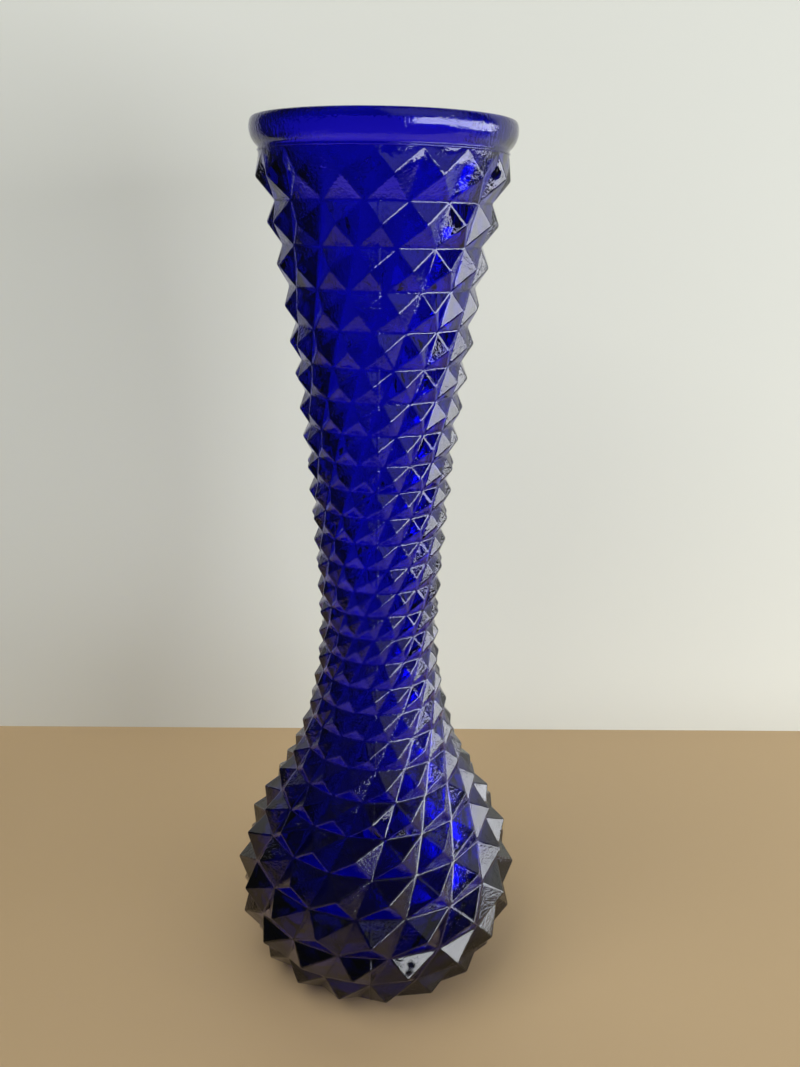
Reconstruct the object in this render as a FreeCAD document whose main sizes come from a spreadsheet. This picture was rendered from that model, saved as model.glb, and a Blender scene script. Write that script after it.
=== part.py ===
# Tall glass vase for forcing a bulb: a flared mouth, a narrow waist and a round bulb, covered in
# rows of four-sided points. It is one piece of glass, blown in a mould, so it is one solid.
# Millimetres and degrees. The foot stands on the XY plane and the axis is Z.
import FreeCAD, Part
import math
import os
import Sketcher

os.makedirs("parts", exist_ok=True)
doc = FreeCAD.newDocument("ForcingVase")

# Driving sizes
SIZES = (
    ("overall_height", 240.0, "foot to the top of the rim"),
    ("rim_diameter", 65.4, "over the bead"),
    ("bead_radius", 7.0, "round of the bead, from its widest down to the groove"),
    ("rim_round", 1.1, "outer edge of the flat top"),
    ("rim_thickness", 5.7, "bead to bore"),
    ("groove_depth", 2.1, "bead to the groove under it"),
    ("lip_round", 1.8, "inner edge of the mouth"),
    ("rim_band", 7.9, "top of the rim to the first ring of the pattern"),
    ("neck_reach", 3.4, "how far the plain neck runs down between the first points"),
    ("bore_length", 7.0, "straight part inside the mouth"),
    ("corner_stand", 0.1, "corners of the top ring ahead of the groove"),
    ("waist_diameter", 30.8, "over the corners of the narrowest ring"),
    ("bulb_diameter", 78.2, "over the corners of the widest ring"),
    ("foot_diameter", 59.4, "over the corners of the lowest ring"),
    ("foot_height", 1.2, "floor to the lowest ring of the pattern"),
    ("foot_inset", 0.4, "foot ring behind the lowest points"),
    ("foot_reach", 2.5, "how far the foot ring runs up inside the glass"),
    ("rest_width", 5.0, "flat ring that the vase stands on"),
    ("recess_depth", 1.8, "hollow under the base"),
    ("recess_slope", 6.0, "width of the sloping side of that hollow"),
    ("point_stand", 5.0, "height of the points on the bulb"),
    ("wall_thickness", 3.2, "glass behind the valleys"),
    ("base_thickness", 9.0, "glass under the inside"),
    ("floor_inset", 7.2, "flat floor inside, in from the widest wall of the bulb"),
    ("overrun", 1.0, "how far a cutter runs past the face that it cuts"),
    ("first_turn", 16.5, "first corner of the top ring, round from the front"),
    ("total_turn", 238.0, "twist of the columns from the mouth to the foot"),
    ("points_per_ring", 17, "points round the vase"),
)
sheet = doc.addObject("Spreadsheet::Sheet", "Sizes")
for row, (alias, value, note) in enumerate(SIZES, start=1):
    sheet.set("A%d" % row, alias)
    sheet.set("B%d" % row, str(value))
    sheet.setAlias("B%d" % row, alias)
    sheet.set("C%d" % row, note)
doc.recompute()

# Valley rings, from the mouth to the foot, as shares. Height is a share of the pattern's height.
ring_height_shares = (
    1.0, 0.953, 0.909, 0.866, 0.825, 0.786, 0.75, 0.714, 0.68, 0.649, 0.618, 0.587, 0.557, 0.527,
    0.497, 0.467, 0.436, 0.405, 0.374, 0.342, 0.308, 0.272, 0.234, 0.192, 0.147, 0.098, 0.048, 0.0)
# Turn is a share of the total turn: the columns lean most where the vase is narrow.
ring_turn_shares = (
    0.0, 0.018, 0.038, 0.063, 0.093, 0.123, 0.157, 0.196, 0.233, 0.267, 0.305, 0.347, 0.393, 0.439,
    0.482, 0.528, 0.58, 0.636, 0.691, 0.74, 0.782, 0.819, 0.85, 0.878, 0.905, 0.934, 0.968, 1.0)
# Radius runs from the mouth in to the waist, out to the bulb, and in to the foot.
flare_shares = (
    1.0, 0.783, 0.654, 0.545, 0.453, 0.374, 0.309, 0.254, 0.205, 0.161, 0.125, 0.097, 0.075, 0.052,
    0.026, 0.0)
swell_shares = (0.011, 0.05, 0.105, 0.171, 0.265, 0.391, 0.572, 0.76, 0.929, 1.0)
tuck_shares = (0.691, 0.0)
# Each row's points: how far they stand out, and how far they lift, as shares of point_stand.
point_stand_shares = (
    0.6, 0.62, 0.58, 0.54, 0.53, 0.52, 0.51, 0.48, 0.46, 0.46, 0.44, 0.41, 0.38, 0.38, 0.42, 0.43,
    0.4, 0.38, 0.4, 0.46, 0.54, 0.66, 0.8, 0.96, 1.0, 1.0, 0.94)
point_lift_shares = (
    0.0, 0.0, 0.0, 0.0, 0.0, 0.0, 0.0, 0.0, 0.0, 0.02, 0.05, 0.06, 0.07, 0.08, 0.1, 0.1,
    0.08, 0.06, 0.02, 0.0, 0.04, 0.16, 0.3, 0.32, 0.18, 0.02, -0.06)
# Rings that the inside follows, down to where its bulb turns round
INSIDE_RINGS = (1, 3, 7, 11, 15, 17, 19, 21, 23)


def size(expression):
    """Value of an expression in the sheet's own names."""
    return sheet.evalExpression(expression)


def ring_radii():
    mouth = size("rim_diameter / 2 - groove_depth + corner_stand")
    waist, bulb, foot = [size(name + "_diameter / 2") for name in ("waist", "bulb", "foot")]
    radii = [waist + (mouth - waist) * share for share in flare_shares]
    radii += [waist + (bulb - waist) * share for share in swell_shares]
    radii += [foot + (bulb - foot) * share for share in tuck_shares]
    return radii


def ring_heights():
    low = size("foot_height")
    tall = size("overall_height - rim_band - foot_height")
    return [low + tall * share for share in ring_height_shares]


def ring_corners():
    """Corners of each valley ring, from the mouth down."""
    count = int(size("points_per_ring"))
    rings = []
    for radius, height, share in zip(ring_radii(), ring_heights(), ring_turn_shares):
        start = size("first_turn") - size("total_turn") * share
        angles = [math.radians(start + 360.0 * i / count) for i in range(count)]
        rings.append([FreeCAD.Vector(radius * math.sin(a), -radius * math.cos(a), height) for a in angles])
    return rings


def triangle(a, b, c):
    return Part.Face(Part.makePolygon([a, b, c, a]))


def cell_facets(corners, stand, lift):
    """Four facets that rise from a cell's corners to its point."""
    middle = (corners[0] + corners[1] + corners[2] + corners[3]) / 4
    outward = FreeCAD.Vector(middle.x, middle.y, 0).normalize()
    tip = middle + outward * stand + FreeCAD.Vector(0, 0, lift)
    return [triangle(corners[i], corners[(i + 1) % 4], tip) for i in range(4)]


def pointed_solid():
    """The patterned outside as one closed solid."""
    rings = ring_corners()
    rows = zip(rings, rings[1:], point_stand_shares, point_lift_shares)
    faces = [Part.Face(Part.makePolygon(ring + ring[:1])) for ring in (rings[0], rings[-1])]
    for upper, lower, stand_share, lift_share in rows:
        stand = size("point_stand") * stand_share
        lift = size("point_stand") * lift_share
        for i in range(len(upper)):
            j = (i + 1) % len(upper)
            faces += cell_facets([upper[i], upper[j], lower[j], lower[i]], stand, lift)
    shell = Part.Shell(faces)
    shell.sewShape()
    solid = Part.Solid(shell)
    if solid.Volume < 0:
        solid.reverse()
    return solid


def bulb_round(start, floor):
    """Arc about the vase's axis, from the wall above down to the edge of the floor."""
    height = (start.x ** 2 + start.z ** 2 - floor.x ** 2 - floor.z ** 2) / (2 * (start.z - floor.z))
    radius = math.hypot(floor.x, floor.z - height)
    turn = (math.atan2(start.z - height, start.x) + math.atan2(floor.z - height, floor.x)) / 2
    middle = FreeCAD.Vector(radius * math.cos(turn), 0, height + radius * math.sin(turn))
    return Part.Arc(start, middle, floor).toShape()


def inside_solid():
    """What is hollow: the bore, the flared mouth, the waist and the round bulb with its flat floor."""
    flat = math.cos(math.pi / size("points_per_ring"))
    radii, heights = ring_radii(), ring_heights()
    bore = size("rim_diameter / 2 - rim_thickness")
    above = size("overall_height + overrun")
    corners = [(0, above), (bore, above), (bore, size("overall_height - bore_length"))]
    corners += [(radii[ring] * flat - size("wall_thickness"), heights[ring]) for ring in INSIDE_RINGS]
    points = [FreeCAD.Vector(x, 0, z) for x, z in corners]
    widest = size("bulb_diameter / 2") * flat - size("wall_thickness")
    floor = FreeCAD.Vector(widest - size("floor_inset"), 0, size("base_thickness"))
    middle = FreeCAD.Vector(0, 0, floor.z)
    edges = [Part.makeLine(start, end) for start, end in zip(points, points[1:])]
    edges += [bulb_round(points[-1], floor), Part.makeLine(floor, middle), Part.makeLine(middle, points[0])]
    face = Part.Face(Part.Wire(edges))
    return face.revolve(FreeCAD.Vector(0, 0, 0), FreeCAD.Vector(0, 0, 1), 360)


def arc_edge(start, end, radius):
    """Arc of the given radius, anticlockwise from start to end."""
    half = (end - start) / 2
    rise = math.sqrt(max(radius ** 2 - half.Length ** 2, 0.0))
    centre = start + half + FreeCAD.Vector(-half.y, half.x, 0).normalize() * rise
    circle = Part.Circle(centre, FreeCAD.Vector(0, 0, 1), radius)
    return Part.ArcOfCircle(circle, circle.parameter(start), circle.parameter(end))


def bind(sketch, name, constraint, expression):
    index = sketch.addConstraint(constraint)
    sketch.renameConstraint(index, name)
    sketch.setExpression("Constraints." + name, expression)


def place(sketch, axis, name, edge, expression):
    """Puts the start of an edge at a named place along X or Y."""
    if expression == "0":
        line = -2 if axis == "X" else -1
        sketch.addConstraint(Sketcher.Constraint("PointOnObject", edge, 1, line))
    else:
        distance = Sketcher.Constraint("Distance" + axis, -1, 1, edge, 1, size(expression))
        bind(sketch, name, distance, in_sheet(expression))


def in_sheet(expression):
    """The same expression with each size's name led by the sheet's."""
    words = expression.replace("(", "( ").replace(")", " )").split()
    names = [alias for alias, value, note in SIZES]
    return " ".join("Sizes." + word if word in names else word for word in words)


def revolved(label, corners, arcs):
    """Body revolved about Z. Corners are places in X and Z; arcs gives the radius of an edge that bends."""
    body = doc.addObject("PartDesign::Body", label)
    plane = [item for item in body.Origin.OriginFeatures if item.Role == "XZ_Plane"][0]
    sketch = body.newObject("Sketcher::SketchObject", label + "Profile")
    sketch.AttachmentSupport = [(plane, "")]
    sketch.MapMode = "FlatFace"
    spots = [FreeCAD.Vector(size(x), size(z), 0) for x, z in corners]
    count = len(spots)
    for i in range(count):
        start, end = spots[i], spots[(i + 1) % count]
        sketch.addGeometry(arc_edge(start, end, size(arcs[i])) if i in arcs else Part.LineSegment(start, end), False)
    for i in range(count):
        sketch.addConstraint(Sketcher.Constraint("Coincident", i, 2, (i + 1) % count, 1))
        place(sketch, "X", "across%d" % i, i, corners[i][0])
        place(sketch, "Y", "height%d" % i, i, corners[i][1])
        if i in arcs:
            bind(sketch, "radius%d" % i, Sketcher.Constraint("Radius", i, size(arcs[i])), in_sheet(arcs[i]))
    feature = body.newObject("PartDesign::Revolution", label + "Turn")
    feature.Profile = sketch
    feature.ReferenceAxis = (sketch, ["V_Axis"])
    feature.Angle = 360
    return body


# Plain neck and rolled bead above the pattern
groove = "( rim_diameter / 2 - groove_depth )"
crest = "( overall_height - rim_round )"
bead_side = []
for share in ("1", "2 / 3", "1 / 3", "0"):
    turn = "( acos( 1 - groove_depth / bead_radius ) * " + share + " )"
    across = "rim_diameter / 2 - bead_radius * ( 1 - cos( " + turn + " ) )"
    bead_side.append((across, crest + " - bead_radius * sin( " + turn + " )"))
neck_low = "overall_height - rim_band - neck_reach"
rim = revolved("RimBead", [
    ("0", neck_low), (groove, neck_low), *bead_side,
    ("rim_diameter / 2 - rim_round", "overall_height"), ("0", "overall_height")], {5: "rim_round"})

# Foot ring under the last row of points
foot_edge = "( foot_diameter / 2 * cos( 180 deg / points_per_ring ) - foot_inset )"
foot = revolved("FootRing", [
    ("0", "0"), (foot_edge + " - foot_height", "0"), (foot_edge, "foot_height"),
    (foot_edge, "foot_height + foot_reach"), ("0", "foot_height + foot_reach")], {})

# Shallow hollow under the base, so that the vase stands on a ring
rest_inner = foot_edge + " - foot_height - rest_width"
recess = revolved("BaseRecess", [
    ("0", "-1 * overrun"), (rest_inner, "-1 * overrun"), (rest_inner, "0"),
    (rest_inner + " - recess_slope", "recess_depth"), ("0", "recess_depth")], {})

pattern = doc.addObject("Part::Feature", "PointedGlass")
pattern.Shape = pointed_solid()
hollow = doc.addObject("Part::Feature", "Inside")
hollow.Shape = inside_solid()

outside = doc.addObject("Part::MultiFuse", "Outside")
outside.Shapes = [pattern, rim, foot]
hollows = doc.addObject("Part::MultiFuse", "Hollows")
hollows.Shapes = [hollow, recess]
opened = doc.addObject("Part::Cut", "OpenedGlass")
opened.Base = outside
opened.Tool = hollows
doc.recompute()


def mouth_edge(shape, radius, height):
    """Number of the edge where the bore meets the flat top of the rim."""
    for number, edge in enumerate(shape.Edges, start=1):
        spot = edge.Vertexes[0].Point
        level = math.isclose(spot.z, height) and math.isclose(math.hypot(spot.x, spot.y), radius)
        if edge.isClosed() and level:
            return number
    raise RuntimeError("the mouth has no edge to round")


bore_radius = size("rim_diameter / 2 - rim_thickness")
top_flat = size("rim_thickness - rim_round")
lip_limit_share = 0.95
lip = min(size("lip_round"), top_flat * lip_limit_share)
vase = doc.addObject("Part::Fillet", "GlassVase")
vase.Base = opened
vase.Edges = [(mouth_edge(opened.Shape, bore_radius, size("overall_height")), lip, lip)]
vase.Label = "glass_vase"
vase.Placement = FreeCAD.Placement()
doc.recompute()

# Every object must have worked before anything is written
for item in doc.Objects:
    if "Invalid" in item.State or "Error" in item.State:
        raise RuntimeError("%s failed: %s" % (item.Name, item.State))
for item in (pattern, hollow, rim, foot, recess, vase):
    if item.Shape.isNull() or not item.Shape.isValid():
        raise RuntimeError("%s has no valid shape" % item.Label)
if len(vase.Shape.Solids) != 1:
    raise RuntimeError("the vase must be one solid")
box = vase.Shape.BoundBox
print("vase %.2f x %.2f x %.2f, from z %.3f" % (box.XLength, box.YLength, box.ZLength, box.ZMin))
print("volume %.0f, faces %d" % (vase.Shape.Volume, len(vase.Shape.Faces)))
vase.Shape.exportStep("parts/glass_vase.step")
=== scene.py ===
"""Looks of a tall glass vase for forcing a bulb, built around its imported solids."""

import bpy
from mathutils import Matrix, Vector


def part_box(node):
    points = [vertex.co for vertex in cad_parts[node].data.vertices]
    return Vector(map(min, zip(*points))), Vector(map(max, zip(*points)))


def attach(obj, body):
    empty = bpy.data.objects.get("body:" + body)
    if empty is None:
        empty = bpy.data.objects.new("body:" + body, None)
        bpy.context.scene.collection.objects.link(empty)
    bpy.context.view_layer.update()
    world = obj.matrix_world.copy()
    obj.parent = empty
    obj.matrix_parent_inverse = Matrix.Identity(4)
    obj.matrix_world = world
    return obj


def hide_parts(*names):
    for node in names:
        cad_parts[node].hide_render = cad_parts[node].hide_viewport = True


bl_info = {
    "name": "Forcing vase",
    "version": (1, 0, 0),
    "blender": (4, 5, 0),
    "location": "View3D > Sidebar > Vase",
    "description": "Models the vase's glass with softened points, its mould seams and its stage",
    "category": "Object",
}

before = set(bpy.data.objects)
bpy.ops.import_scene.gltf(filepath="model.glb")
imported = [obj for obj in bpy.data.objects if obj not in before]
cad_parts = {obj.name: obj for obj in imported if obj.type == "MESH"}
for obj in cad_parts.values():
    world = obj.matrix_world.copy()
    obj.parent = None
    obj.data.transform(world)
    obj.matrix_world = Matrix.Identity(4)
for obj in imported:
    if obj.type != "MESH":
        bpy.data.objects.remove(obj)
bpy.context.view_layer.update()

import math

import bmesh
import bpy
from mathutils import Matrix, Vector

MM = 0.001
AXIS = Vector((0, 0, 1))
low_corner, high_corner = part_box("glass_vase")

# Valley rings from the mouth to the foot, as shares of the pattern's height and of its turn
RING_HEIGHT_SHARES = (
    1.0, 0.953, 0.909, 0.866, 0.825, 0.786, 0.75, 0.714, 0.68, 0.649, 0.618, 0.587, 0.557, 0.527,
    0.497, 0.467, 0.436, 0.405, 0.374, 0.342, 0.308, 0.272, 0.234, 0.192, 0.147, 0.098, 0.048, 0.0)
RING_TURN_SHARES = (
    0.0, 0.018, 0.038, 0.063, 0.093, 0.123, 0.157, 0.196, 0.233, 0.267, 0.305, 0.347, 0.393, 0.439,
    0.482, 0.528, 0.58, 0.636, 0.691, 0.74, 0.782, 0.819, 0.85, 0.878, 0.905, 0.934, 0.968, 1.0)
# Radius of the rings: in from the mouth to the waist, out to the bulb, in to the foot
FLARE_SHARES = (
    1.0, 0.783, 0.654, 0.545, 0.453, 0.374, 0.309, 0.254, 0.205, 0.161, 0.125, 0.097, 0.075, 0.052,
    0.026, 0.0)
SWELL_SHARES = (0.011, 0.05, 0.105, 0.171, 0.265, 0.391, 0.572, 0.76, 0.929, 1.0)
TUCK_SHARES = (0.691, 0.0)
# How far the points of each row stand out, and how far they lift
POINT_STAND_SHARES = (
    0.6, 0.62, 0.58, 0.54, 0.53, 0.52, 0.51, 0.48, 0.46, 0.46, 0.44, 0.41, 0.38, 0.38, 0.42, 0.43,
    0.4, 0.38, 0.4, 0.46, 0.54, 0.66, 0.8, 0.96, 1.0, 1.0, 0.94)
POINT_LIFT_SHARES = (
    0.0, 0.0, 0.0, 0.0, 0.0, 0.0, 0.0, 0.0, 0.0, 0.02, 0.05, 0.06, 0.07, 0.08, 0.1, 0.1,
    0.08, 0.06, 0.02, 0.0, 0.04, 0.16, 0.3, 0.32, 0.18, 0.02, -0.06)
# Rings that the inside follows, down to where its bulb turns round
INSIDE_RINGS = (1, 2, 3, 5, 7, 9, 11, 13, 15, 16, 17, 18, 19, 20, 21, 22, 23)
# Rings of the flat floor inside, as shares of its radius
FLOOR_SHARES = (0.94, 0.7, 0.35, 0.0)
# Where the foot's turned round begins, as a share of the lowest ring's height, and the flat
# middle of the hollow under the base, as a share of the radius where the hollow begins
FOOT_START = 0.85
HOLLOW_MIDDLE = 0.4
# Cuts beside a seam, as shares of its width: the outer two hold the facets flat right up to it
SEAM_CUTS = (-0.72, -0.5, 0.0, 0.5, 0.72)

# Fineness: steps round the vase and along its profile's arcs, cuts across softened edges and
# across the first row's facets, and the distance below which two corners are one
ROUND_STEPS = 136
BEAD_STEPS, SHOULDER_STEPS, LIP_STEPS, BULB_STEPS = 7, 6, 6, 12
SOFT_SEGMENTS = 3
NECK_CUTS = 4
SAME_PLACE = 0.001 * MM

# Glass: refractive index; patches of small marks, how many to a metre and where they fade in
GLASS_INDEX = 1.52
PATCH_RATE = 90.0
PATCH_FADE = (0.38, 0.56)

# Stage: each sheet's width, depth and centre in metres, its roughness, and the paint's tone,
# as changes to a metre and as the darkest share of the colour
FLOOR_SHEET = (0.64, 0.2475, (0.1, 0.00375, 0.0))
FLOOR_ROUGHNESS = 0.6
BACKDROP_SHEET = (0.7, 0.8, (0.15, 0.127, 0.4))
BACKDROP_ROUGHNESS = 0.8
PAINT_RATE, PAINT_SHADE = 3.0, 0.97
# Name, place, aim, width, height, watts, colour, and whether it shows in the glass
LIGHTS = (
    ("window", (0.88, -0.42, 0.15), (0, 0, 0.13), 1.6, 0.42, 17.5, (0.95, 0.97, 1.0), True),
    ("ceiling", (0.57, -0.68, 0.92), (0, 0, 0.13), 1.4, 1.0, 1.9, (1.0, 0.99, 0.97), True),
    ("wall wash", (-0.35, -0.25, 0.75), (-0.1, 0.12, 0.2), 0.6, 0.6, 3.6, (1.0, 1.0, 0.98), False))
# The room past the sheets: what lights the vase, and what the camera sees
ROOM_DIM = (0.04, 0.041, 0.044, 1.0)
ROOM_SEEN = (0.62, 0.63, 0.6, 1.0)
SENSOR_WIDTH = 36.0
NEAREST_SEEN = 0.01


def length(name, default, description):
    """A length in metres, given here in millimetres."""
    return bpy.props.FloatProperty(
        name=name, default=default * MM, description=description,
        min=0.0, unit="LENGTH", precision=5)


def angle(name, default, description):
    """An angle in radians, given here in degrees."""
    return bpy.props.FloatProperty(
        name=name, default=math.radians(default), description=description, subtype="ANGLE")


def colour(name, default, description):
    """A colour without transparency."""
    return bpy.props.FloatVectorProperty(
        name=name, default=default, description=description,
        size=3, min=0.0, max=1.0, subtype="COLOR")


class VaseSizes(bpy.types.PropertyGroup):
    """Sizes of the glass."""
    overall_height: bpy.props.FloatProperty(
        name="Height", default=high_corner[2] - low_corner[2], unit="LENGTH", precision=5,
        description="Foot to the top of the rim")
    rim_radius: length("Rim radius", 32.7, "Axis to the outside of the bead")
    bead_radius: length("Bead round", 5.4, "Round of the bead, from its widest down to the groove")
    rim_round: length("Rim round", 0.9, "Outer edge of the flat top, across")
    rim_shoulder: length("Rim shoulder", 2.3, "Top of the rim to the widest of the bead")
    rim_thickness: length("Rim thickness", 5.7, "Bead to bore")
    groove_depth: length("Groove depth", 2.1, "Bead to the groove under it")
    corner_stand: length("Corner stand", 0.1, "Corners of the top ring ahead of the groove")
    lip_round: length("Lip round", 1.8, "Round of the mouth's inner edge")
    rim_band: length("Rim band", 7.9, "Top of the rim to the first ring of the pattern")
    neck_reach: length("Neck reach", 3.4, "How far the neck runs down between the first points")
    neck_blend: length("Neck blend", 0.26, "Softness where the neck meets the first points")
    bore_length: length("Bore length", 7.0, "Straight part inside the mouth")
    waist_radius: length("Waist radius", 15.4, "Corners of the narrowest ring")
    bulb_radius: length("Bulb radius", 39.1, "Corners of the widest ring")
    foot_radius: length("Foot radius", 29.7, "Corners of the lowest ring")
    foot_height: length("Foot height", 1.2, "Floor to the lowest ring")
    foot_inset: length("Foot inset", 0.4, "Foot ring behind the lowest points")
    rest_width: length("Rest width", 5.0, "Flat ring that the vase stands on")
    recess_depth: length("Recess depth", 1.8, "Hollow under the base")
    recess_slope: length("Recess slope", 6.0, "Width of the sloping side of that hollow")
    point_stand: length("Point stand", 5.0, "Height of the points on the bulb")
    wall_thickness: length("Wall", 3.2, "Glass behind the valleys")
    base_thickness: length("Base", 9.0, "Glass under the inside")
    floor_inset: length("Floor inset", 7.2, "Floor inside, in from the widest wall of the bulb")
    edge_round: length("Edge round", 0.36, "How far the ridges and valleys are softened")
    facet_margin: length("Facet margin", 0.14, "Strip round a facet where its edges start to turn")
    fold_round: length("Fold round", 0.6, "Softness of the folds at groove, mouth and foot")
    seam_height: length("Seam height", 0.32, "How far the mould's seams stand out")
    seam_width: length("Seam width", 0.64, "Foot of a mould seam")
    ring_seam_drop: length("Ring seam drop", 7.3, "Top of the rim to the mould's level seam")
    points_per_ring: bpy.props.IntProperty(
        name="Points per ring", default=17, min=3, description="Points round the vase")
    first_turn: angle("First turn", 16.5, "First corner of the top ring, round from the front")
    total_turn: angle("Total turn", 238.0, "Twist of the columns from the mouth to the foot")
    seam_turn: angle("Seam turn", -2.0, "Front mould seam, round from the front")


class GlassLook(bpy.types.PropertyGroup):
    """Colour and surface of the glass."""
    tint: colour("Tint", (0.24, 0.18, 0.93), "Colour that each face of the glass lets through")
    depth_tint: colour("Depth tint", (0.14, 0.0, 0.88), "Colour that thick glass goes towards")
    depth_density: bpy.props.FloatProperty(
        name="Depth density", default=700.0, min=0.0,
        description="How fast it goes there, per metre")
    roughness: bpy.props.FloatProperty(
        name="Roughness", default=0.035, min=0.0, max=1.0, subtype="FACTOR",
        description="Roughness of the fire-finished surface")
    wave_size: length("Wave size", 5.0, "Width of the slow waves in the surface")
    wave_height: length("Wave height", 0.05, "Height of those waves")
    mottle_size: length("Mottle size", 0.75, "Width of the small marks left by the mould")
    mottle_height: length("Mottle height", 0.15, "Height of those marks")


class StageLook(bpy.types.PropertyGroup):
    """Camera, lights, floor and backdrop."""
    camera_distance: length("Camera distance", 248.4, "Lens to the vase's axis, level")
    camera_height: length("Camera height", 216.6, "Lens above the floor")
    camera_yaw: angle("Yaw", 1.298, "Turn to the right")
    camera_pitch: angle("Pitch", 18.272, "Tilt down")
    camera_roll: angle("Roll", 1.021, "Roll of the camera")
    lens: bpy.props.FloatProperty(
        name="Lens", default=42.354, min=1.0, description="Focal length on a sensor 36 mm wide")
    floor_colour: colour("Floor", (0.53, 0.38, 0.21), "Plain pale floor")
    wall_colour: colour("Backdrop", (0.70, 0.71, 0.645), "Plain pale backdrop")


def ring_radii(sizes):
    """Radius of each ring's corners, from the mouth to the foot."""
    mouth = sizes.rim_radius - sizes.groove_depth + sizes.corner_stand
    waist, bulb, foot = sizes.waist_radius, sizes.bulb_radius, sizes.foot_radius
    radii = [waist + (mouth - waist) * share for share in FLARE_SHARES]
    radii += [waist + (bulb - waist) * share for share in SWELL_SHARES]
    return radii + [foot + (bulb - foot) * share for share in TUCK_SHARES]


def ring_heights(sizes):
    """Height of each ring, from the mouth to the foot."""
    low = sizes.foot_height
    tall = sizes.overall_height - sizes.rim_band - low
    return [low + tall * share for share in RING_HEIGHT_SHARES]


def verts_of(geometry):
    return [item for item in geometry if isinstance(item, bmesh.types.BMVert)]


def edges_of(geometry):
    return [item for item in geometry if isinstance(item, bmesh.types.BMEdge)]


def faces_of(geometry):
    return [item for item in geometry if isinstance(item, bmesh.types.BMFace)]


def across(vert):
    """Distance of a vertex from the vase's axis."""
    return math.hypot(vert.co.x, vert.co.y)


def set_across(vert, radius):
    """Moves a vertex straight out or in to a distance from the axis."""
    share = radius / across(vert)
    vert.co.x *= share
    vert.co.y *= share


def pattern_shell(mesh, sizes):
    """Rows of four-sided points from the neck to the foot, open at both ends."""
    radii, heights = ring_radii(sizes), ring_heights(sizes)
    count = sizes.points_per_ring
    ring = bmesh.ops.create_circle(mesh, segments=count, radius=radii[0])["verts"]
    first = Matrix.Rotation(math.pi + sizes.first_turn, 3, "Z")
    bmesh.ops.rotate(mesh, verts=ring, matrix=first)
    bmesh.ops.translate(mesh, verts=ring, vec=AXIS * heights[0])
    edges = mesh.edges[:]
    for row in range(len(radii) - 1):
        made = bmesh.ops.extrude_edge_only(mesh, edges=edges)["geom"]
        verts = verts_of(made)
        edges = [edge for edge in edges_of(made) if edge.is_boundary]
        turn = -sizes.total_turn * (RING_TURN_SHARES[row + 1] - RING_TURN_SHARES[row])
        size = radii[row + 1] / radii[row]
        bmesh.ops.scale(mesh, verts=verts, vec=(size, size, 1.0))
        bmesh.ops.rotate(mesh, verts=verts, matrix=Matrix.Rotation(turn, 3, "Z"))
        bmesh.ops.translate(mesh, verts=verts, vec=AXIS * (heights[row + 1] - heights[row]))
        points = bmesh.ops.poke(mesh, faces=faces_of(made), center_mode="MEAN")["verts"]
        stand = sizes.point_stand * POINT_STAND_SHARES[row]
        for point in points:
            set_across(point, across(point) + stand)
        lift = sizes.point_stand * POINT_LIFT_SHARES[row]
        bmesh.ops.translate(mesh, verts=points, vec=AXIS * lift)


def soften_pattern(mesh, sizes):
    """Rounds the ridges, the valleys and the tips, and keeps the facets between them flat."""
    inner = [edge for edge in mesh.edges if len(edge.link_faces) == 2]
    made = bmesh.ops.bevel(
        mesh, geom=inner, offset=sizes.edge_round, offset_type="OFFSET", segments=SOFT_SEGMENTS,
        profile=0.5, affect="EDGES", clamp_overlap=True, material=-1)
    rounds = set(made["faces"])
    facets = [face for face in mesh.faces if face not in rounds]
    bmesh.ops.inset_individual(
        mesh, faces=facets, thickness=sizes.facet_margin, use_even_offset=True)


def blend_neck(mesh, sizes):
    """Runs the round neck softly into the first row of points."""
    neck = sizes.rim_radius - sizes.groove_depth
    neck_end = sizes.overall_height - sizes.rim_band - sizes.neck_reach
    lowest = ring_heights(sizes)[1]
    top = [face for face in mesh.faces if face.calc_center_median().z > lowest]
    edges = list(dict.fromkeys(edge for face in top for edge in face.edges))
    bmesh.ops.subdivide_edges(mesh, edges=edges, cuts=NECK_CUTS, use_grid_fill=True)
    soft = sizes.neck_blend
    for vert in mesh.verts:
        if vert.co.z > lowest:
            below = max(neck_end - vert.co.z, 0.0)
            wall = neck - below ** 2 / (2 * soft)
            gap = across(vert) - wall
            lift = (math.sqrt(gap ** 2 + soft ** 2 / 4) - gap) / 2
            set_across(vert, across(vert) + lift)


def open_loop(mesh, low, high):
    """Edges of the open rim of a shell that lies between two heights."""
    return [edge for edge in mesh.edges
            if edge.is_boundary and all(low < vert.co.z < high for vert in edge.verts)]


def go_on(mesh, vert, radius, height):
    """Draws the profile on to another place."""
    made = bmesh.ops.extrude_vert_indiv(mesh, verts=[vert])["verts"][0]
    made.co = Vector((radius, 0, height))
    return made


def bend_on(mesh, vert, centre, sweep, steps):
    """Draws the profile on along an arc round a centre."""
    made = bmesh.ops.spin(
        mesh, geom=[vert], cent=Vector((centre[0], 0, centre[1])), axis=(0, 1, 0),
        dvec=(0, 0, 0), angle=sweep, steps=steps, use_merge=False, use_duplicate=False)
    return verts_of(made["geom_last"])[0]


def turned(mesh, start, folds, soft):
    """Softens a profile's folds and spins it into a closed round of the vase."""
    bmesh.ops.bevel(
        mesh, geom=folds, offset=soft, offset_type="OFFSET", segments=SOFT_SEGMENTS,
        profile=0.5, affect="VERTICES", clamp_overlap=True, material=-1)
    reached, edges, queue = {start: None}, {}, [start]
    while queue:
        vert = queue.pop()
        for edge in vert.link_edges:
            edges[edge] = None
            other = edge.other_vert(vert)
            if other not in reached:
                reached[other] = None
                queue.append(other)
    bmesh.ops.spin(
        mesh, geom=[*reached, *edges], cent=(0, 0, 0), axis=AXIS, dvec=(0, 0, 0),
        angle=math.tau, steps=ROUND_STEPS, use_merge=True, use_duplicate=False)


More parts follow.
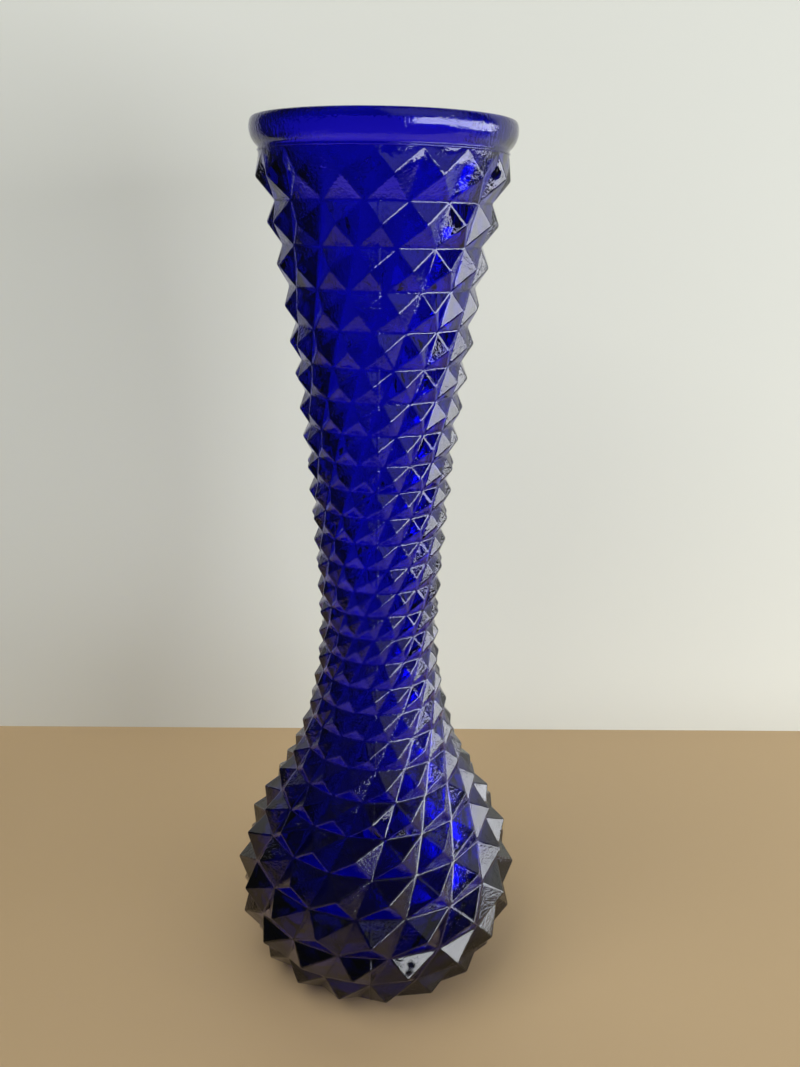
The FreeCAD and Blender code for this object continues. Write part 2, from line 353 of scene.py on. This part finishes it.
def rim_and_inside(mesh, sizes):
    """Groove, bead, mouth, inner wall and floor."""
    radii, heights = ring_radii(sizes), ring_heights(sizes)
    flat = math.cos(math.pi / sizes.points_per_ring)
    top = sizes.overall_height
    neck = sizes.rim_radius - sizes.groove_depth
    crest = top - sizes.rim_shoulder
    under = math.acos(1 - sizes.groove_depth / sizes.bead_radius)
    bore = sizes.rim_radius - sizes.rim_thickness
    bead_low = crest - sizes.bead_radius * math.sin(under)
    seam, half = top - sizes.ring_seam_drop, sizes.seam_width / 2
    start = mesh.verts.new(Vector((neck, 0, seam - half)))
    vert = go_on(mesh, start, neck + sizes.seam_height, seam)
    vert = go_on(mesh, vert, neck, seam + half)
    vert = go_on(mesh, vert, neck, bead_low)
    folds = [vert]
    vert = bend_on(mesh, vert, (sizes.rim_radius - sizes.bead_radius, crest), -under, BEAD_STEPS)
    bead = set(mesh.verts)
    round_centre = (sizes.rim_radius - sizes.rim_round, crest)
    vert = bend_on(mesh, vert, round_centre, -math.pi / 2, SHOULDER_STEPS)
    shoulder = [item for item in mesh.verts if item not in bead]
    taller = Vector((1.0, 1.0, sizes.rim_shoulder / sizes.rim_round))
    bmesh.ops.scale(
        mesh, verts=shoulder, vec=taller, space=Matrix.Translation((0, 0, -crest)))
    vert = go_on(mesh, vert, bore + sizes.lip_round, top)
    lip_centre = (bore + sizes.lip_round, top - sizes.lip_round)
    vert = bend_on(mesh, vert, lip_centre, -math.pi / 2, LIP_STEPS)
    bore_end = top - sizes.bore_length
    for share in (0.5, 1.0):
        vert = go_on(mesh, vert, bore, vert.co.z + (bore_end - vert.co.z) * share)
    folds.append(vert)
    for ring in INSIDE_RINGS:
        vert = go_on(mesh, vert, radii[ring] * flat - sizes.wall_thickness, heights[ring])
    # The bulb's inside turns about the axis down to the edge of the floor
    base = sizes.base_thickness
    floor = sizes.bulb_radius * flat - sizes.wall_thickness - sizes.floor_inset
    wide, high = vert.co.x, vert.co.z
    middle = (wide ** 2 + high ** 2 - floor ** 2 - base ** 2) / (2 * (high - base))
    sweep = math.atan2(high - middle, wide) - math.atan2(base - middle, floor)
    vert = bend_on(mesh, vert, (0.0, middle), sweep, BULB_STEPS)
    folds.append(vert)
    for share in FLOOR_SHARES:
        vert = go_on(mesh, vert, floor * share, base)
    turned(mesh, start, folds, sizes.fold_round)


def foot_and_recess(mesh, sizes):
    """Foot ring, the flat that the vase stands on, and the hollow under the base."""
    flat = math.cos(math.pi / sizes.points_per_ring)
    edge = sizes.foot_radius * flat - sizes.foot_inset
    rest = edge - sizes.foot_height
    inner, depth = rest - sizes.rest_width, sizes.recess_depth
    start = mesh.verts.new(Vector((edge, 0, sizes.foot_height * FOOT_START)))
    folds = [go_on(mesh, start, rest, 0.0)]
    hollow = ((inner, 0.0), (inner - sizes.recess_slope, depth), (inner * HOLLOW_MIDDLE, depth))
    for radius, height in hollow:
        folds.append(go_on(mesh, folds[-1], radius, height))
    go_on(mesh, folds[-1], 0.0, depth)
    turned(mesh, start, folds[:-1], sizes.fold_round)


def close_up(mesh, sizes):
    """Joins the three shells into one wall of glass."""
    bmesh.ops.remove_doubles(mesh, verts=mesh.verts, dist=SAME_PLACE)
    top = sizes.overall_height - sizes.rim_band
    # Heights between which each pair of open rims lies
    at_rim = (top - sizes.neck_reach, sizes.overall_height)
    at_foot = (0.0, sizes.foot_height * 1.5)
    for heights in (at_rim, at_foot):
        bmesh.ops.bridge_loops(mesh, edges=open_loop(mesh, *heights))
    bmesh.ops.recalc_face_normals(mesh, faces=mesh.faces)


def add_seam(mesh, sizes, turn):
    """Raises the fine line that the mould's joint leaves down one side."""
    outward = Vector((math.sin(turn), -math.cos(turn), 0))
    side = Vector((math.cos(turn), math.sin(turn), 0))
    highest = sizes.overall_height - sizes.rim_band
    reach = sizes.seam_width * 2

    def on_seam_side(face):
        centre = face.calc_center_median()
        skin = face.normal.dot(Vector((centre.x, centre.y, 0))) > 0
        beside = abs(centre.dot(side)) < sizes.point_stand * 2
        within = sizes.foot_height < centre.z < highest
        return skin and beside and within and centre.dot(outward) > 0

    for offset in SEAM_CUTS:
        faces = [face for face in mesh.faces if on_seam_side(face)]
        edges = dict.fromkeys(edge for face in faces for edge in face.edges)
        verts = dict.fromkeys(vert for face in faces for vert in face.verts)
        cut = bmesh.ops.bisect_plane(
            mesh, geom=[*verts, *edges, *faces], dist=SAME_PLACE,
            plane_co=side * sizes.seam_width * offset, plane_no=side)["geom_cut"]
        if offset == 0.0:
            crest = [vert for vert in verts_of(cut) if abs(vert.co.dot(side)) < reach]
    for vert in crest:
        vert.co += outward * sizes.seam_height


def new_piece(mesh, name):
    """Makes a smoothly shaded object of a finished mesh."""
    data = bpy.data.meshes.new(name)
    mesh.to_mesh(data)
    mesh.free()
    data.polygons.foreach_set("use_smooth", [True] * len(data.polygons))
    piece = bpy.data.objects.new(name, data)
    bpy.context.scene.collection.objects.link(piece)
    return piece


def worked_out(nodes, links, operation, first, second):
    """Output of a math node whose two inputs are outputs of nodes or plain numbers."""
    node = nodes.new("ShaderNodeMath")
    node.operation = operation
    for place, given in enumerate((first, second)):
        if isinstance(given, float):
            node.inputs[place].default_value = given
        else:
            links.new(given, node.inputs[place])
    return node.outputs[0]


def mixed(nodes, links, share, first, second, target):
    """Mixes two shaders by a share, on the way to a material's or world's output."""
    either = nodes.new("ShaderNodeMixShader")
    for place, output in enumerate((share, first, second)):
        links.new(output, either.inputs[place])
    links.new(either.outputs["Shader"], target)


def wave_group():
    """Node group: slow waves and small marks of the mould, as a height in metres."""
    group = bpy.data.node_groups.new("glass waves", "ShaderNodeTree")
    face = group.interface
    face.new_socket("Height", in_out="OUTPUT", socket_type="NodeSocketFloat")
    for name in ("Wave size", "Wave height", "Mottle size", "Mottle height"):
        face.new_socket(name, in_out="INPUT", socket_type="NodeSocketFloat")
    nodes, links = group.nodes, group.links
    given, out = nodes.new("NodeGroupInput"), nodes.new("NodeGroupOutput")
    place = nodes.new("ShaderNodeTexCoord")

    def layer(size_name, height_name, detail):
        noise = nodes.new("ShaderNodeTexNoise")
        noise.inputs["Detail"].default_value = detail
        noise.inputs["Roughness"].default_value = 0.5
        links.new(place.outputs["Object"], noise.inputs["Vector"])
        rate = worked_out(nodes, links, "DIVIDE", 1.0, given.outputs[size_name])
        links.new(rate, noise.inputs["Scale"])
        height = given.outputs[height_name]
        return worked_out(nodes, links, "MULTIPLY", noise.outputs["Fac"], height)

    # The small marks show in patches a few points wide
    patches = nodes.new("ShaderNodeTexNoise")
    patches.inputs["Scale"].default_value = PATCH_RATE
    patches.inputs["Detail"].default_value = 1.0
    links.new(place.outputs["Object"], patches.inputs["Vector"])
    spread = nodes.new("ShaderNodeMapRange")
    spread.inputs["From Min"].default_value = PATCH_FADE[0]
    spread.inputs["From Max"].default_value = PATCH_FADE[1]
    links.new(patches.outputs["Fac"], spread.inputs["Value"])
    marks = layer("Mottle size", "Mottle height", 2.0)
    patchy = worked_out(nodes, links, "MULTIPLY", marks, spread.outputs["Result"])
    waves = layer("Wave size", "Wave height", 1.0)
    links.new(worked_out(nodes, links, "ADD", waves, patchy), out.inputs["Height"])
    return group


def cobalt_glass(look):
    """Clear cobalt blue glass that darkens with depth."""
    material = bpy.data.materials.new("cobalt glass")
    material.use_nodes = True
    nodes, links = material.node_tree.nodes, material.node_tree.links
    shader = nodes["Principled BSDF"]
    shader.inputs["Base Color"].default_value = (*look.tint, 1.0)
    shader.inputs["Metallic"].default_value = 0.0
    shader.inputs["Transmission Weight"].default_value = 1.0
    shader.inputs["IOR"].default_value = GLASS_INDEX
    shader.inputs["Roughness"].default_value = look.roughness
    depth = nodes.new("ShaderNodeVolumeAbsorption")
    depth.inputs["Color"].default_value = (*look.depth_tint, 1.0)
    depth.inputs["Density"].default_value = look.depth_density
    links.new(depth.outputs["Volume"], nodes["Material Output"].inputs["Volume"])
    waves = nodes.new("ShaderNodeGroup")
    waves.node_tree = wave_group()
    waves.inputs["Wave size"].default_value = look.wave_size
    waves.inputs["Wave height"].default_value = look.wave_height
    waves.inputs["Mottle size"].default_value = look.mottle_size
    waves.inputs["Mottle height"].default_value = look.mottle_height
    bump = nodes.new("ShaderNodeBump")
    bump.inputs["Strength"].default_value = 1.0
    bump.inputs["Distance"].default_value = 1.0
    links.new(waves.outputs["Height"], bump.inputs["Height"])
    links.new(bump.outputs["Normal"], shader.inputs["Normal"])
    return material


def plain_material(name, tone, roughness):
    """Matt paint with a faint, slow change of tone."""
    material = bpy.data.materials.new(name)
    material.use_nodes = True
    nodes, links = material.node_tree.nodes, material.node_tree.links
    shader = nodes["Principled BSDF"]
    shader.inputs["Roughness"].default_value = roughness
    place = nodes.new("ShaderNodeTexCoord")
    noise = nodes.new("ShaderNodeTexNoise")
    noise.inputs["Scale"].default_value = PAINT_RATE
    links.new(place.outputs["Object"], noise.inputs["Vector"])
    ramp = nodes.new("ShaderNodeValToRGB")
    ramp.color_ramp.elements[0].color = (*[value * PAINT_SHADE for value in tone], 1.0)
    ramp.color_ramp.elements[1].color = (*tone, 1.0)
    links.new(noise.outputs["Fac"], ramp.inputs["Fac"])
    links.new(ramp.outputs["Color"], shader.inputs["Base Color"])
    # The sheet is clear from behind, so that a view from there isn't blocked
    facing = nodes.new("ShaderNodeNewGeometry")
    clear = nodes.new("ShaderNodeBsdfTransparent")
    mixed(nodes, links, facing.outputs["Backfacing"], shader.outputs["BSDF"],
          clear.outputs["BSDF"], nodes["Material Output"].inputs["Surface"])
    return material


class VASE_OT_glass(bpy.types.Operator):
    """Models the vase's one piece of glass and hides the plain solid that it stands for"""
    bl_idname = "vase.glass"
    bl_label = "Glass"

    def execute(self, context):
        sizes, look = context.scene.vase_sizes, context.scene.vase_glass
        mesh = bmesh.new()
        pattern_shell(mesh, sizes)
        soften_pattern(mesh, sizes)
        blend_neck(mesh, sizes)
        rim_and_inside(mesh, sizes)
        foot_and_recess(mesh, sizes)
        close_up(mesh, sizes)
        for turn in (sizes.seam_turn, sizes.seam_turn + math.pi):
            add_seam(mesh, sizes, turn)
        bmesh.ops.recalc_face_normals(mesh, faces=mesh.faces)
        piece = new_piece(mesh, "vase_glass")
        piece.data.materials.append(cobalt_glass(look))
        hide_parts("glass_vase")
        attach(piece, "root")
        return {"FINISHED"}


def area_light(name, place, aim, width, height, power, tone, mirrored):
    """Soft rectangle of light that faces a point, out of the camera's sight."""
    lamp = bpy.data.lights.new(name, "AREA")
    lamp.shape = "RECTANGLE"
    lamp.size, lamp.size_y = width, height
    lamp.energy = power
    lamp.color = tone
    light = bpy.data.objects.new(name, lamp)
    light.location = place
    light.rotation_euler = (Vector(aim) - Vector(place)).to_track_quat("-Z", "Y").to_euler()
    light.visible_camera = False
    light.visible_glossy = mirrored
    bpy.context.scene.collection.objects.link(light)


def stage_sheet(name, sheet_size, tilt, material):
    """Flat sheet of the stage, tilted up at the back and moved to its centre."""
    wide, deep, centre = sheet_size
    place = Matrix.Translation(centre) @ Matrix.Rotation(tilt, 4, "X")
    mesh = bmesh.new()
    bmesh.ops.create_grid(mesh, x_segments=1, y_segments=1, size=0.5)
    bmesh.ops.scale(mesh, verts=mesh.verts, vec=(wide, deep, 1.0))
    bmesh.ops.transform(mesh, verts=mesh.verts, matrix=place)
    sheet = new_piece(mesh, name)
    sheet.data.materials.append(material)


def photo_camera(look):
    """Camera at the photo's place and viewing angle."""
    yaw, pitch, roll = look.camera_yaw, look.camera_pitch, look.camera_roll
    level_part = math.cos(pitch)
    ahead = Vector((math.sin(yaw) * level_part, math.cos(yaw) * level_part, -math.sin(pitch)))
    right = Vector((math.cos(yaw), -math.sin(yaw), 0))
    up = right.cross(ahead)
    level = right * math.cos(roll) + up * math.sin(roll)
    rise = up * math.cos(roll) - right * math.sin(roll)
    turn = Matrix((level, rise, -ahead)).transposed().to_4x4()
    data = bpy.data.cameras.new("camera")
    data.sensor_fit = "HORIZONTAL"
    data.sensor_width = SENSOR_WIDTH
    data.lens = look.lens
    data.clip_start = NEAREST_SEEN
    camera = bpy.data.objects.new("camera", data)
    place = Matrix.Translation((0, -look.camera_distance, look.camera_height))
    camera.matrix_world = place @ turn
    bpy.context.scene.collection.objects.link(camera)
    bpy.context.scene.camera = camera


def room_world():
    """Dim room for the vase, with a pale one for the camera past the sheets' edges."""
    world = bpy.data.worlds.new("room")
    world.use_nodes = True
    nodes, links = world.node_tree.nodes, world.node_tree.links
    dim = nodes["Background"]
    dim.inputs["Color"].default_value = ROOM_DIM
    seen = nodes.new("ShaderNodeBackground")
    seen.inputs["Color"].default_value = ROOM_SEEN
    path = nodes.new("ShaderNodeLightPath")
    mixed(nodes, links, path.outputs["Is Camera Ray"], dim.outputs["Background"],
          seen.outputs["Background"], nodes["World Output"].inputs["Surface"])
    return world


class VASE_OT_stage(bpy.types.Operator):
    """Sets the floor, the backdrop, the soft light and the camera"""
    bl_idname = "vase.stage"
    bl_label = "Stage"

    def execute(self, context):
        look = context.scene.vase_stage
        photo_camera(look)
        floor = plain_material("floor paint", look.floor_colour, FLOOR_ROUGHNESS)
        wall = plain_material("backdrop paint", look.wall_colour, BACKDROP_ROUGHNESS)
        stage_sheet("floor", FLOOR_SHEET, 0.0, floor)
        stage_sheet("backdrop", BACKDROP_SHEET, math.pi / 2, wall)
        for settings in LIGHTS:
            area_light(*settings)
        context.scene.world = room_world()
        # The default view transform would turn the deep blue pale
        context.scene.view_settings.view_transform = "Standard"
        return {"FINISHED"}


class VASE_PT_panel(bpy.types.Panel):
    """Lists the vase's parts and their settings"""
    bl_label = "Forcing vase"
    bl_idname = "VASE_PT_panel"
    bl_space_type = "VIEW_3D"
    bl_region_type = "UI"
    bl_category = "Vase"

    def draw(self, context):
        parts = ((VASE_OT_glass, ("vase_sizes", "vase_glass")), (VASE_OT_stage, ("vase_stage",)))
        for operator, settings in parts:
            self.layout.operator(operator.bl_idname)
            for name in settings:
                group = getattr(context.scene, name)
                for key in group.bl_rna.properties.keys():
                    if key not in ("rna_type", "name"):
                        self.layout.prop(group, key)


CLASSES = (VaseSizes, GlassLook, StageLook, VASE_OT_glass, VASE_OT_stage, VASE_PT_panel)


def register():
    """Makes the vase's settings, operators and panel known."""
    for item in CLASSES:
        bpy.utils.register_class(item)
    bpy.types.Scene.vase_sizes = bpy.props.PointerProperty(type=VaseSizes)
    bpy.types.Scene.vase_glass = bpy.props.PointerProperty(type=GlassLook)
    bpy.types.Scene.vase_stage = bpy.props.PointerProperty(type=StageLook)


def unregister():
    """Takes them back."""
    del bpy.types.Scene.vase_sizes, bpy.types.Scene.vase_glass, bpy.types.Scene.vase_stage
    for item in reversed(CLASSES):
        bpy.utils.unregister_class(item)


def main():
    """Builds the stage and the glass."""
    register()
    bpy.ops.vase.stage()
    bpy.ops.vase.glass()


if __name__ == "__main__":
    main()
